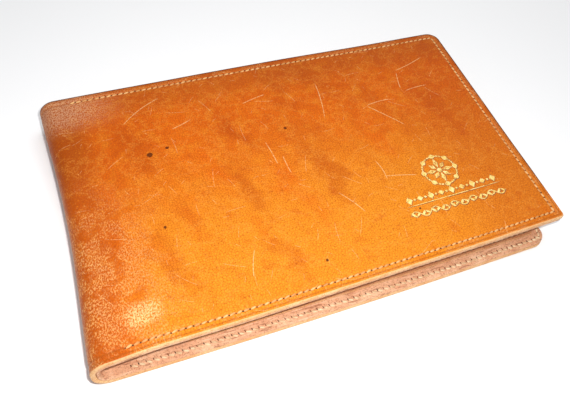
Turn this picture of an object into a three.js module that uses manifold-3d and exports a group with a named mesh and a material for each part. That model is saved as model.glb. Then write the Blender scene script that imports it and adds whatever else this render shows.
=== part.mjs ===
// A pocket jotter: a leather cover that folds at its short side round a top-bound 3 x 5 inch pad.
// Lengths are millimetres. X runs from the fold to the free edges, Y from front to back, Z up.
// The cover lies closed on its back panel. The origin is under the middle of the closed cover.
import * as THREE from 'three';
import { mergeVertices } from 'three/addons/utils/BufferGeometryUtils.js';
import Module from 'manifold-3d';

const wasm = await Module();
wasm.setup();

// ---- driving dimensions -------------------------------------------------------------------------
const COVER_LENGTH = 152;          // fold to the free edge of the front panel
const COVER_WIDTH = 95;
const COVER_HEIGHT = 12.5;
const BACK_SHORTFALL = 5;          // the back panel ends this much before the front one
const LEATHER = 1.5;               // outer leather
const LINING = 0.8;
const LEAF = 0.6;                  // thin leather of the inner pockets
const GLUE = 0.1;                  // gap left between two glued or touching layers
const FOLD_RADIUS = 5.2;           // outside corners of the rolled fold
const FOLD_LEATHER = 1.3;          // the outer leather is skived where it rolls
const PANEL_START = 5.8;           // both panels begin here, clear of the fold piece
const SHARP_CORNER = 1.2;          // front corner of the front panel
const ROUND_CORNER = 4;            // the other free corners
const LEAST_CORNER = 0.3;          // no corner of a seam is sharper

const STITCH_INSET = 2.8;          // seam line in from the front panel's cut edge
const BACK_STITCH_INSET = 1.7;     // and from the back panel's
const SEAM_START = 10;             // the edge seam stops this far from the fold
const THREAD_WIDTH = 0.6;
const THREAD_DEPTH = 0.3;
const GROOVE_CLEARANCE = 0.15;     // round a thread lying in its groove

const LEAF_INSET = 3.8;            // pocket leaves stand in from the panel's edges
const LEAF_STITCH_INSET = 1.4;
const LEAF_RIM = 2.8;              // sewn-down border of the pad sleeve
const LEAF_CORNER = 1.5;
const LEAF_SEAM_DELAY = 1;         // its seam begins this far along a leaf
const RIM_OVERLAP = LEAF / 4;      // the sleeve's rim runs up into its sheet
const SLEEVE_START = 26;
const POCKET_START = 32;

const PAD_LENGTH = 127;            // 5 inches
const PAD_WIDTH = 76;              // 3 inches
const PAD_START = 12;              // the bound end stands off the fold
const PAGE_CORNER = 0.5;
const CARD = 0.6;
const SHEETS_LEFT = 1.5;           // thickness of the leaves that stay down
const LEAF_GROUPS = 4;
const GROUP_THICKNESS = 0.4;
const GROUP_GAP = 0.1;
const GROUP_STEP = 0.5;            // each lower group hinges this much further from the binding
const BINDING_DEPTH = 12.2;        // how far the binding strip reaches over the pad
const STRIP = 0.15;
const STRIP_UNDER_SHARE = 0.7;     // of that reach, on the card's underside
const HINGE_GAP = 0.8;             // from the strip to the first group's hinge

const STAPLE_WIRE = 0.45;
const STAPLE_SPAN = 12;
const STAPLE_OFFSET = 19;          // each staple's middle, from the pad's centre line
const STAPLE_CORNER = 0.3;
const STAPLE_ARC_STEPS = 3;

const FOIL = 0.08;
const STAR_CENTRE = [120, 30];
const STAR_RADIUS = 6;
const STAR_POINTS = 8;
const STAR_SHORT_POINT = 0.72;     // every other point, as a share of the radius
const STAR_WAIST = 0.34;
const BEAD_RULE_Y = 21.5;
const SCROLL_RULE_Y = 16;
const RULE_START = 102;
const RULE_END = 138;
const BEADS = 9;
const STEPS_PER_BEAD = 4;
const BEAD_HALF_HEIGHT = 1.3;
const BEAD_LINE_HALF_WIDTH = 0.25;
const SCROLL_WAVES = 6;
const STEPS_PER_WAVE = 12;
const SCROLL_HEIGHT = 1.2;
const SCROLL_HALF_WIDTH = 0.35;

// ---- heights worked out from them ---------------------------------------------------------------
const BACK_LINING_Z = LEATHER + GLUE;
const BACK_LINING_TOP = BACK_LINING_Z + LINING;
const STRIP_Z = BACK_LINING_TOP + GLUE;
const CARD_Z = STRIP_Z + STRIP + GLUE;
const SLEEVE_Z = CARD_Z + CARD + GLUE;
const PAGES_Z = SLEEVE_Z + LEAF + GLUE;
const BLOCK_TOP = PAGES_Z + SHEETS_LEFT;
const STACK_TOP = BLOCK_TOP + LEAF_GROUPS * (GROUP_THICKNESS + GROUP_GAP);
const STRIP_TOP = STACK_TOP + GLUE + STRIP;
const FRONT_LEATHER_Z = COVER_HEIGHT - LEATHER;
const FRONT_LINING_Z = FRONT_LEATHER_Z - GLUE - LINING;
const POCKET_Z = FRONT_LINING_Z - GLUE - LEAF;
const BACK_LENGTH = COVER_LENGTH - BACK_SHORTFALL;
const PAD_FRONT = (COVER_WIDTH - PAD_WIDTH) / 2;
const PAD_BACK = PAD_FRONT + PAD_WIDTH;

const ARC_STEPS = 5;
const CUT_OVERSHOOT = 1;

// ---- materials ----------------------------------------------------------------------------------
const material = (color, roughness, metalness = 0) =>
  new THREE.MeshStandardMaterial({ color, roughness, metalness });
const saddleTan = material(0xd07a26, 0.5);
const liningTan = material(0xc98f6c, 0.75);
const pocketTan = material(0xc08460, 0.7);
const linenThread = material(0xe8c99a, 0.8);
const goldFoil = material(0xd8b040, 0.3, 1);
const whitePaper = material(0xf3efe2, 0.9);
const greyBoard = material(0xa89a86, 0.9);
const bindingCloth = material(0x6b3a22, 0.8);
const stapleSteel = material(0xb9bcc0, 0.35, 1);

// ---- geometry helpers ---------------------------------------------------------------------------
const object = new THREE.Group();
object.position.set(-COVER_LENGTH / 2, -COVER_WIDTH / 2, 0);

function addPiece(name, geometry, surface) {
  const piece = new THREE.Mesh(geometry, surface);
  piece.name = name;
  object.add(piece);
  return piece;
}

// A flat outline in XY raised from z0 to z1.
function slab(outline, z0, z1) {
  const depth = z1 - z0;
  const geometry = new THREE.ExtrudeGeometry(outline, { depth, bevelEnabled: false, curveSegments: ARC_STEPS });
  return geometry.translate(0, 0, z0);
}

// An outline drawn in XZ and carried along Y.
function profileAlongY(outline, y0, y1) {
  const depth = y1 - y0;
  const geometry = new THREE.ExtrudeGeometry(outline, { depth, bevelEnabled: false, curveSegments: ARC_STEPS });
  return geometry.rotateX(Math.PI / 2).translate(0, y1, 0);
}

// A panel with square corners at x0 and rounded ones at x1.
function panelOutline(x0, x1, y0, y1, frontRadius, backRadius) {
  const outline = new THREE.Shape();
  outline.moveTo(x0, y0);
  outline.lineTo(x1 - frontRadius, y0);
  outline.absarc(x1 - frontRadius, y0 + frontRadius, frontRadius, -Math.PI / 2, 0);
  outline.absarc(x1 - backRadius, y1 - backRadius, backRadius, 0, Math.PI / 2);
  outline.lineTo(x0, y1);
  return outline;
}

// A band of the given width that follows a panel's front, free and back edges.
function seamOutline(start, panel, inset, width) {
  const outer = inset - width / 2;
  const inner = inset + width / 2;
  const radius = (corner, offset) => Math.max(corner - offset, LEAST_CORNER);
  const { length, front, back, frontRadius, backRadius } = panel;
  const outline = new THREE.Shape();
  const corner = (r, offset, isBack, clockwise) => {
    const x = length - offset - r;
    const y = isBack ? back - offset - r : front + offset + r;
    const from = isBack ? 0 : -Math.PI / 2;
    const turn = Math.PI / 2;
    outline.absarc(x, y, r, clockwise ? from + turn : from, clockwise ? from : from + turn, clockwise);
  };
  outline.moveTo(start, front + outer);
  outline.lineTo(length / 2, front + outer);
  corner(radius(frontRadius, outer), outer, false, false);
  corner(radius(backRadius, outer), outer, true, false);
  outline.lineTo(start, back - outer);
  outline.lineTo(start, back - inner);
  corner(radius(backRadius, inner), inner, true, true);
  corner(radius(frontRadius, inner), inner, false, true);
  outline.lineTo(start, front + inner);
  return outline;
}

function toSolid(geometry) {
  const bare = geometry.clone();
  bare.deleteAttribute('normal');
  bare.deleteAttribute('uv');
  const merged = mergeVertices(bare, 1e-5);
  const vertProperties = new Float32Array(merged.attributes.position.array);
  const triVerts = new Uint32Array(merged.index.array);
  return new wasm.Manifold(new wasm.Mesh({ numProp: 3, vertProperties, triVerts }));
}

function toGeometry(solid) {
  const mesh = solid.getMesh();
  const geometry = new THREE.BufferGeometry();
  geometry.setAttribute('position', new THREE.BufferAttribute(new Float32Array(mesh.vertProperties), 3));
  geometry.setIndex(new THREE.BufferAttribute(new Uint32Array(mesh.triVerts), 1));
  geometry.computeVertexNormals();
  return geometry;
}

function cut(geometry, tools) {
  return toGeometry(tools.reduce((solid, tool) => solid.subtract(toSolid(tool)), toSolid(geometry)));
}

function join(a, b) {
  return toGeometry(toSolid(a).add(toSolid(b)));
}

// A thread in a groove of a face. The face is at z, and up says which way it looks.
function threadAndGroove(start, panel, inset, z, up) {
  const side = up ? -1 : 1;
  const [threadLow, threadHigh] = [z, z + side * THREAD_DEPTH].sort((a, b) => a - b);
  const [grooveLow, grooveHigh] = [z - side * CUT_OVERSHOOT, z + side * (THREAD_DEPTH + GROOVE_CLEARANCE)]
    .sort((a, b) => a - b);
  const grooveWidth = THREAD_WIDTH + 2 * GROOVE_CLEARANCE;
  return {
    thread: slab(seamOutline(start, panel, inset, THREAD_WIDTH), threadLow, threadHigh),
    groove: slab(seamOutline(start - GROOVE_CLEARANCE, panel, inset, grooveWidth), grooveLow, grooveHigh),
  };
}

const wholePanel = (length, frontRadius) =>
  ({ length, front: 0, back: COVER_WIDTH, frontRadius, backRadius: ROUND_CORNER });
const leafPanel = (length) =>
  ({
    length: length - LEAF_INSET,
    front: LEAF_INSET,
    back: COVER_WIDTH - LEAF_INSET,
    frontRadius: LEAF_CORNER,
    backRadius: LEAF_CORNER,
  });
const panelShape = (start, panel) =>
  panelOutline(start, panel.length, panel.front, panel.back, panel.frontRadius, panel.backRadius);

const frontPanel = wholePanel(COVER_LENGTH, SHARP_CORNER);
const backPanel = wholePanel(BACK_LENGTH, ROUND_CORNER);
const frontPocket = leafPanel(COVER_LENGTH);
const padSleeve = leafPanel(BACK_LENGTH);

// ---- front cover --------------------------------------------------------------------------------
function buildFrontCover() {
  const outside = threadAndGroove(SEAM_START, frontPanel, STITCH_INSET, COVER_HEIGHT, true);
  const inside = threadAndGroove(SEAM_START, frontPanel, STITCH_INSET, FRONT_LINING_Z, false);
  const pocketSeam = threadAndGroove(POCKET_START + LEAF_SEAM_DELAY, frontPocket, LEAF_STITCH_INSET, POCKET_Z, false);
  const leather = slab(panelShape(PANEL_START, frontPanel), FRONT_LEATHER_Z, COVER_HEIGHT);
  const lining = slab(panelShape(PANEL_START, frontPanel), FRONT_LINING_Z, FRONT_LINING_Z + LINING);
  const pocket = slab(panelShape(POCKET_START, frontPocket), POCKET_Z, POCKET_Z + LEAF);
  addPiece('front_cover_leather', cut(leather, [outside.groove]), saddleTan);
  addPiece('front_lining', cut(lining, [inside.groove]), liningTan);
  addPiece('front_pocket_leaf', cut(pocket, [pocketSeam.groove]), pocketTan);
  addPiece('front_edge_needle_thread', outside.thread, linenThread);
  addPiece('front_edge_bobbin_thread', inside.thread, linenThread);
  addPiece('front_pocket_thread', pocketSeam.thread, linenThread);
}

// ---- foil ornament on the front cover -----------------------------------------------------------
function starOutline([cx, cy], radius) {
  const outline = new THREE.Shape();
  for (let i = 0; i < STAR_POINTS * 2; i += 1) {
    const point = i % 4 === 0 ? 1 : STAR_SHORT_POINT;
    const r = radius * (i % 2 === 0 ? point : STAR_WAIST);
    const angle = (i * Math.PI) / STAR_POINTS;
    const x = cx + r * Math.cos(angle);
    const y = cy + r * Math.sin(angle);
    if (i === 0) outline.moveTo(x, y);
    else outline.lineTo(x, y);
  }
  return outline;
}

// A rule whose two edges are given by one function of the position along it.
function ruleOutline(y, steps, centre, halfWidth) {
  const at = (i) => RULE_START + ((RULE_END - RULE_START) * i) / steps;
  const outline = new THREE.Shape();
  outline.moveTo(at(0), y + centre(0) - halfWidth(0));
  for (let i = 1; i <= steps; i += 1) outline.lineTo(at(i), y + centre(i) - halfWidth(i));
  for (let i = steps; i >= 0; i -= 1) outline.lineTo(at(i), y + centre(i) + halfWidth(i));
  return outline;
}

function buildFoil() {
  const bottom = COVER_HEIGHT + FOIL / 2;
  const isBead = (i) => i % STEPS_PER_BEAD === STEPS_PER_BEAD / 2;
  const beadHeight = (i) => (isBead(i) ? BEAD_HALF_HEIGHT : BEAD_LINE_HALF_WIDTH);
  const beads = ruleOutline(BEAD_RULE_Y, BEADS * STEPS_PER_BEAD, () => 0, beadHeight);
  const wave = (i) => SCROLL_HEIGHT * Math.sin((i * 2 * Math.PI) / STEPS_PER_WAVE);
  const scroll = ruleOutline(SCROLL_RULE_Y, SCROLL_WAVES * STEPS_PER_WAVE, wave, () => SCROLL_HALF_WIDTH);
  addPiece('foil_star', slab(starOutline(STAR_CENTRE, STAR_RADIUS), bottom, bottom + FOIL), goldFoil);
  addPiece('foil_bead_rule', slab(beads, bottom, bottom + FOIL), goldFoil);
  addPiece('foil_scroll_rule', slab(scroll, bottom, bottom + FOIL), goldFoil);
}

// ---- rolled fold --------------------------------------------------------------------------------
// A C open towards +X: outside corners of the given radius, inset from the fold's outer face.
function foldOutline(inset, wall) {
  const end = FOLD_RADIUS;
  const top = COVER_HEIGHT - inset;
  const outer = FOLD_RADIUS - inset;
  const inner = outer - wall;
  const outline = new THREE.Shape();
  outline.moveTo(end, inset);
  outline.absarc(end, inset + outer, outer, (3 * Math.PI) / 2, Math.PI, true);
  outline.absarc(end, top - outer, outer, Math.PI, Math.PI / 2, true);
  outline.lineTo(end, top - wall);
  outline.absarc(end, top - outer, inner, Math.PI / 2, Math.PI, false);
  outline.absarc(end, inset + outer, inner, Math.PI, (3 * Math.PI) / 2, false);
  return outline;
}

function buildFold() {
  const liningWall = LINING - GLUE;
  addPiece('spine_leather', profileAlongY(foldOutline(0, FOLD_LEATHER), 0, COVER_WIDTH), saddleTan);
  const lining = foldOutline(FOLD_LEATHER + GLUE, liningWall);
  addPiece('spine_lining', profileAlongY(lining, 0, COVER_WIDTH), liningTan);
}

// ---- back cover ---------------------------------------------------------------------------------
function buildBackCover() {
  const outside = threadAndGroove(SEAM_START, backPanel, BACK_STITCH_INSET, 0, false);
  const inside = threadAndGroove(SEAM_START, backPanel, BACK_STITCH_INSET, BACK_LINING_TOP, true);
  const sleeveTop = SLEEVE_Z + LEAF;
  const sleeveSeam = threadAndGroove(SLEEVE_START + LEAF_SEAM_DELAY, padSleeve, LEAF_STITCH_INSET, sleeveTop, true);
  const leather = slab(panelShape(PANEL_START, backPanel), 0, LEATHER);
  const lining = slab(panelShape(PANEL_START, backPanel), BACK_LINING_Z, BACK_LINING_TOP);
  const sheet = slab(panelShape(SLEEVE_START, padSleeve), SLEEVE_Z, sleeveTop);
  const rimOutline = seamOutline(SLEEVE_START, padSleeve, LEAF_RIM / 2, LEAF_RIM);
  const rim = slab(rimOutline, BACK_LINING_TOP + GLUE, SLEEVE_Z + RIM_OVERLAP);
  addPiece('back_cover_leather', cut(leather, [outside.groove]), saddleTan);
  addPiece('back_lining', cut(lining, [inside.groove]), liningTan);
  addPiece('pad_sleeve_leaf', cut(join(sheet, rim), [sleeveSeam.groove]), pocketTan);
  addPiece('back_edge_needle_thread', outside.thread, linenThread);
  addPiece('back_edge_bobbin_thread', inside.thread, linenThread);
  addPiece('pad_sleeve_thread', sleeveSeam.thread, linenThread);
}

// ---- the pad ------------------------------------------------------------------------------------
const padCentreY = COVER_WIDTH / 2;
const stapleX = PAD_START + BINDING_DEPTH / 2;
const legOffset = (STAPLE_SPAN - STAPLE_WIRE) / 2;

function stapleHoles() {
  const size = STAPLE_WIRE + 2 * GROOVE_CLEARANCE;
  const holes = [];
  for (const centre of [-STAPLE_OFFSET, STAPLE_OFFSET]) {
    for (const leg of [-legOffset, legOffset]) {
      const hole = new THREE.BoxGeometry(size, size, COVER_HEIGHT);
      holes.push(hole.translate(stapleX, padCentreY + centre + leg, COVER_HEIGHT / 2));
    }
  }
  return holes;
}

// A wire bent to a U, drawn in YZ, with its crown on the binding strip.
function stapleGeometry(centreY) {
  const half = STAPLE_SPAN / 2;
  const inner = half - STAPLE_WIRE;
  const crown = STRIP_TOP + GLUE / 2 + STAPLE_WIRE;
  const foot = CARD_Z + GLUE;
  const r = STAPLE_CORNER;
  const outline = new THREE.Shape();
  outline.moveTo(-half, foot);
  outline.lineTo(-inner, foot);
  outline.lineTo(-inner, crown - STAPLE_WIRE);
  outline.lineTo(inner, crown - STAPLE_WIRE);
  outline.lineTo(inner, foot);
  outline.lineTo(half, foot);
  outline.absarc(half - r, crown - r, r, 0, Math.PI / 2);
  outline.absarc(-half + r, crown - r, r, Math.PI / 2, Math.PI);
  const depth = STAPLE_WIRE;
  const options = { depth, bevelEnabled: false, curveSegments: STAPLE_ARC_STEPS };
  const geometry = new THREE.ExtrudeGeometry(outline, options);
  geometry.translate(0, 0, -depth / 2).rotateX(Math.PI / 2).rotateZ(Math.PI / 2);
  return geometry.translate(stapleX, centreY, 0);
}

// The bound stub at full height and the leaves that stay down, as one stack.
function blockOutline() {
  const start = PAD_START + GLUE;
  const end = PAD_START + PAD_LENGTH;
  const stub = PAD_START + BINDING_DEPTH;
  const underSleeve = CARD_Z + CARD + GLUE;
  const outline = new THREE.Shape();
  outline.moveTo(start, underSleeve);
  outline.lineTo(stub, underSleeve);
  outline.lineTo(stub, PAGES_Z);
  outline.lineTo(end, PAGES_Z);
  outline.lineTo(end, BLOCK_TOP);
  outline.lineTo(stub, BLOCK_TOP);
  outline.lineTo(stub, STACK_TOP);
  outline.lineTo(start, STACK_TOP);
  return outline;
}

// The cloth strip glued over the bound end and a little way under the card.
function stripOutline() {
  const end = PAD_START + BINDING_DEPTH;
  const under = PAD_START + BINDING_DEPTH * STRIP_UNDER_SHARE;
  const outer = PAD_START - STRIP;
  const outline = new THREE.Shape();
  outline.moveTo(outer, STRIP_Z);
  outline.lineTo(under, STRIP_Z);
  outline.lineTo(under, STRIP_Z + STRIP);
  outline.lineTo(PAD_START, STRIP_Z + STRIP);
  outline.lineTo(PAD_START, STRIP_TOP - STRIP);
  outline.lineTo(end, STRIP_TOP - STRIP);
  outline.lineTo(end, STRIP_TOP);
  outline.lineTo(outer, STRIP_TOP);
  return outline;
}

function buildPad() {
  const holes = stapleHoles();
  const padOutline = (start) =>
    panelOutline(start, PAD_START + PAD_LENGTH, PAD_FRONT, PAD_BACK, PAGE_CORNER, PAGE_CORNER);
  const cardOutline = padOutline(PAD_START + GLUE);
  addPiece('pad_back_card', cut(slab(cardOutline, CARD_Z, CARD_Z + CARD), holes), greyBoard);
  addPiece('page_block', cut(profileAlongY(blockOutline(), PAD_FRONT, PAD_BACK), holes), whitePaper);
  const upperHoles = holes.map((hole) => hole.clone().translate(0, 0, CARD_Z));
  addPiece('pad_binding_strip', cut(profileAlongY(stripOutline(), PAD_FRONT, PAD_BACK), upperHoles), bindingCloth);
  addPiece('staple_front', stapleGeometry(padCentreY - STAPLE_OFFSET), stapleSteel);
  addPiece('staple_back', stapleGeometry(padCentreY + STAPLE_OFFSET), stapleSteel);
  const hinge = PAD_START + BINDING_DEPTH + HINGE_GAP;
  for (let i = 0; i < LEAF_GROUPS; i += 1) {
    const z = STACK_TOP - (i + 1) * (GROUP_THICKNESS + GROUP_GAP) + GROUP_GAP;
    const outline = padOutline(hinge + i * GROUP_STEP);
    addPiece(`leaf_group_${i + 1}`, slab(outline, z, z + GROUP_THICKNESS), whitePaper);
  }
}

buildFrontCover();
buildFoil();
buildFold();
buildBackCover();
buildPad();

export default object;
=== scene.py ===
# %% [markdown]
# # A worn leather pocket jotter
# The real object is a saddle-tan cover that folds at its short side round a small paper pad. The packed
# CAD model is the frame: it says where each panel, pad and hinge is. Here every leather, thread and
# paper piece is made again with the softness, seams and wear that a rigid solid can't have.

# %% Load the frame
import bpy
import bmesh
import math
import random
from mathutils import Matrix, Vector, noise
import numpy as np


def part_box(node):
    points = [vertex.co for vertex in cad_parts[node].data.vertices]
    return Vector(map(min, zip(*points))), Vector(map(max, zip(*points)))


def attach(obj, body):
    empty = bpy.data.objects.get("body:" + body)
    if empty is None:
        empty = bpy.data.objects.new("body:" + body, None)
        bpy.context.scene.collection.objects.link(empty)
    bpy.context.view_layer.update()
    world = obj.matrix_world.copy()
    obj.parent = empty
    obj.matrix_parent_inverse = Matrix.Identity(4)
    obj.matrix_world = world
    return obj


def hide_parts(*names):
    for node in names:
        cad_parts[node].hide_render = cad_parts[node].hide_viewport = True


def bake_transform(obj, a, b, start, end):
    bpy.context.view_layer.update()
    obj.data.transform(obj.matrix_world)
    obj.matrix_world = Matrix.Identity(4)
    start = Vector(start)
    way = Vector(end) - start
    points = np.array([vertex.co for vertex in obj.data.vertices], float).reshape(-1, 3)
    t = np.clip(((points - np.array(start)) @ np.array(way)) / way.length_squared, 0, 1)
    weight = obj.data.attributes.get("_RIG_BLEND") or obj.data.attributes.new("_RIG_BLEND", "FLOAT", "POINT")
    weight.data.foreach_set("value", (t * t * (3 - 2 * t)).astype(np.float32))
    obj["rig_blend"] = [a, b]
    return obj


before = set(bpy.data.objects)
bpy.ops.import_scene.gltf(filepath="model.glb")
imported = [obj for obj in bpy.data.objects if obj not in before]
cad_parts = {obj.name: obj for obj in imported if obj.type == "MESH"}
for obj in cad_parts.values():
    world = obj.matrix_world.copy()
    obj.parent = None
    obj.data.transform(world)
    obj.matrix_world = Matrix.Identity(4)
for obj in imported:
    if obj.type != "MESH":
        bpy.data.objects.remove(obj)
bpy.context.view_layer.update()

# %% [markdown]
# Small leather goods are thought of in millimetres, so the patterns below are too. A point is turned to
# the frame's metres once, when a piece is finished. The driving sizes are read from the CAD nodes.

# %% Sizes from the frame
MM = 0.001


def size_mm(node):
    low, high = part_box(node)
    return (high - low) / MM


fold_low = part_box("spine_leather")[0]
front_low, front_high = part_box("front_cover_leather")
back_low, back_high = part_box("back_cover_leather")
ORIGIN = Vector((fold_low.x, fold_low.y, 0))  # front end of the fold, on the table
LENGTH = (front_high.x - fold_low.x) / MM
BACK_LENGTH = (back_high.x - fold_low.x) / MM
WIDTH = size_mm("front_cover_leather").y
HEIGHT = size_mm("spine_leather").z
FOLD = size_mm("spine_leather").x  # outside radius of the rolled fold
LEATHER = size_mm("front_cover_leather").z
LINING = size_mm("front_lining").z
GLUE = (front_low.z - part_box("front_lining")[1].z) / MM
THREAD_HALF = 0.3
SEAM_INSET = (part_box("front_edge_needle_thread")[0].y - front_low.y) / MM + THREAD_HALF
BACK_SEAM_INSET = (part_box("back_edge_needle_thread")[0].y - back_low.y) / MM + THREAD_HALF
SEAM_START = (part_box("front_edge_needle_thread")[0].x - fold_low.x) / MM - FOLD
SHARP_CORNER = 1.4
ROUND_CORNER = 4.5
LEAF_CORNER = 1.5
LEAF_THICKNESS = 0.6
LEAF_SEAM_INSET = 1.4
print(f"cover {LENGTH:.1f} x {WIDTH:.1f} x {HEIGHT:.1f} mm")
print(f"seams {SEAM_INSET:.1f} and {BACK_SEAM_INSET:.1f} mm in")

# %% [markdown]
# ## Camera
# The cover is seen from its front left and from well above, by a lens close to it, so the near end of the
# fold looks large. The camera is turned a little about its own axis, as a camera held in the hand is.

# %% Camera
FRAME_WIDTH = 570
FOCAL_LENGTH = 586  # in the same units as the frame's width
AZIMUTH, ELEVATION, ROLL = (math.radians(angle) for angle in (-27.9, 53.7, 9.0))
DISTANCE = 0.1893
TARGET = ORIGIN + Vector((67.7, 39.1, 4)) * MM

camera_data = bpy.data.cameras.new("camera")
camera_data.lens = camera_data.sensor_width * FOCAL_LENGTH / FRAME_WIDTH
camera_data.clip_start = 0.01
camera = bpy.data.objects.new("camera", camera_data)
bpy.context.scene.collection.objects.link(camera)
bpy.context.scene.camera = camera
flat_reach = math.cos(ELEVATION)
away = Vector((math.sin(AZIMUTH) * flat_reach, -math.cos(AZIMUTH) * flat_reach, math.sin(ELEVATION)))
level = (-away).cross(Vector((0, 0, 1))).normalized()
right = level * math.cos(ROLL) + level.cross(-away) * math.sin(ROLL)
up = away.cross(right)
eye = TARGET + away * DISTANCE
camera.matrix_world = Matrix.Translation(eye) @ Matrix((right, up, away)).transposed().to_4x4()
print(f"lens {camera_data.lens:.1f} mm, {DISTANCE:.3f} m from the cover")

# %% [markdown]
# ## Colours and nodes
# A colour is written as it looks on a screen, as an sRGB hex value, and turned to the linear light that
# Blender mixes. Every material is a tree of nodes, so one function adds a node with its settings and links,
# and another lays coats of colour over each other, as a finisher does.


# %% Colours and nodes
def linear(shade):
    """An sRGB hex colour as Blender's linear RGBA."""
    parts = [int(shade[i:i + 2], 16) / 255 for i in (1, 3, 5)]
    return (*[c / 12.92 if c <= 0.04045 else ((c + 0.055) / 1.055) ** 2.4 for c in parts], 1)


def add(tree, kind, inputs=(), out=0, **settings):
    """Adds a shader node with its settings and inputs (values, or sockets to link). Returns an output."""
    node = tree.nodes.new("ShaderNode" + kind)
    for name, value in settings.items():
        setattr(node, name, value)
    for key, value in inputs.items() if isinstance(inputs, dict) else enumerate(inputs):
        if isinstance(value, bpy.types.NodeSocket):
            tree.links.new(value, node.inputs[key])
        else:
            node.inputs[key].default_value = value
    return node.outputs[out] if node.outputs else None


def paint(tree, colour, coats):
    """Lays colours over one another, each where its pattern goes from a bare value to a covered one."""
    for pattern, bare, covered, strength, shade in coats:
        mask = add(tree, "MapRange", (pattern, bare, covered, 0, strength), interpolation_type="SMOOTHSTEP")
        colour = add(tree, "Mix", {0: mask, 6: colour, 7: linear(shade)}, 2, data_type="RGBA")
    return colour


def new_material(name):
    surface = bpy.data.materials.new(name)
    surface.use_nodes = True
    surface.node_tree.nodes.clear()
    return surface, surface.node_tree


def shade_with(tree, **sockets):
    """Ends a material with the Principled shader. Each argument is a socket's name, with _ for a space."""
    values = {name.replace("_", " "): value for name, value in sockets.items()}
    add(tree, "OutputMaterial", (add(tree, "BsdfPrincipled", values),))


def millimetres(tree):
    """The place on an object in millimetres, from its own coordinates."""
    metres = add(tree, "TexCoord", out=3)
    return add(tree, "VectorMath", {0: metres, 3: 1 / MM}, operation="SCALE")


# %% [markdown]
# ## Floor, lamps and room
# The table is plain white. The key lamp is small and close beside the lens, above it and to its right, so
# only a thin dark shadow shows left of the fold and under the front cover's edge. A big soft lamp overhead
# and a pale room fill the rest.

# %% Floor, lamps and room
TABLE_SIZE = 3
TABLE_GAP = 0.0001  # so that the cover's underside doesn't flicker with it


def lay_table():
    bm = bmesh.new()
    bmesh.ops.create_grid(bm, x_segments=1, y_segments=1, size=TABLE_SIZE)
    bmesh.ops.translate(bm, verts=bm.verts, vec=(0, 0, -TABLE_GAP))
    mesh = bpy.data.meshes.new("table_top")
    bm.to_mesh(mesh)
    table = bpy.data.objects.new("table_top", mesh)
    bpy.context.scene.collection.objects.link(table)
    surface, tree = new_material("white_table_paint")
    shade_with(tree, Base_Color=linear("#FCFCFC"), Roughness=0.7)
    mesh.materials.append(surface)


def hang_lamp(name, place, size, power):
    data = bpy.data.lights.new(name, "AREA")
    data.shape, data.size, data.energy = "DISK", size, power
    lamp = bpy.data.objects.new(name, data)
    lamp.location = place
    lamp.rotation_euler = (Vector(place) - TARGET).to_track_quat("Z", "Y").to_euler()
    lamp.visible_camera = False
    bpy.context.scene.collection.objects.link(lamp)


KEY_RIGHT, KEY_UP = 0.014, 0.014  # the key lamp's place beside the lens
KEY_SIZE, KEY_POWER = 0.01, 0.32
OVERHEAD_PLACE = (0.22, 0.18, 0.75)
OVERHEAD_SIZE, OVERHEAD_POWER = 0.7, 2.7
ROOM_LIGHT = 0.36

lay_table()
hang_lamp("key", eye + right * KEY_RIGHT + up * KEY_UP, KEY_SIZE, KEY_POWER)
hang_lamp("overhead", OVERHEAD_PLACE, OVERHEAD_SIZE, OVERHEAD_POWER)
room = bpy.data.worlds.new("pale_room")
room.use_nodes = True
room.node_tree.nodes["Background"].inputs[0].default_value = linear("#FBFCFF")
room.node_tree.nodes["Background"].inputs[1].default_value = ROOM_LIGHT
bpy.context.scene.world = room
bpy.context.scene.view_settings.view_transform = "Standard"

# %% [markdown]
# ## How the cover takes its shape
# A leather worker cuts a flat piece, pares and rounds its edges, and only then rolls it round the fold. The
# script does the same. A point of a flat pattern has u along the length, from 0 where the fold begins to
# roll (negative round it), v across the width and h, its depth under the outer face. `place` rolls it
# into the closed cover, and `worn` gives it the shape of years in a pocket.


# %% Roll and wear
def ease(low, high, x):
    t = min(1, max(0, (x - low) / (high - low)))
    return t * t * (3 - 2 * t)


FOLD_WAIST = 1.7  # the fold is pressed in at its middle
FREE_SLANT = 2.4  # the front free corner has drawn back towards the fold
SIDE_SETBACK = 2.6  # and in from the front edge
BACK_SLANT = 1.0  # the back cover's corner less so
BACK_SETBACK = 0.8
BACK_BOW = 1.1  # the back edges bow outwards at the middle of their length
FRONT_BOW = 0.8  # and the back cover's front edge too
SAG = 1.4  # the front panel lies lower than the fold
FRONT_SETBACK = 0.6  # its front edge stands in from the fold's end
FREE_LIFT = 0.5  # its free end curls up
FRONT_WAVE = 0.22  # it is a little uneven
BACK_WAVE = 0.12


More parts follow.
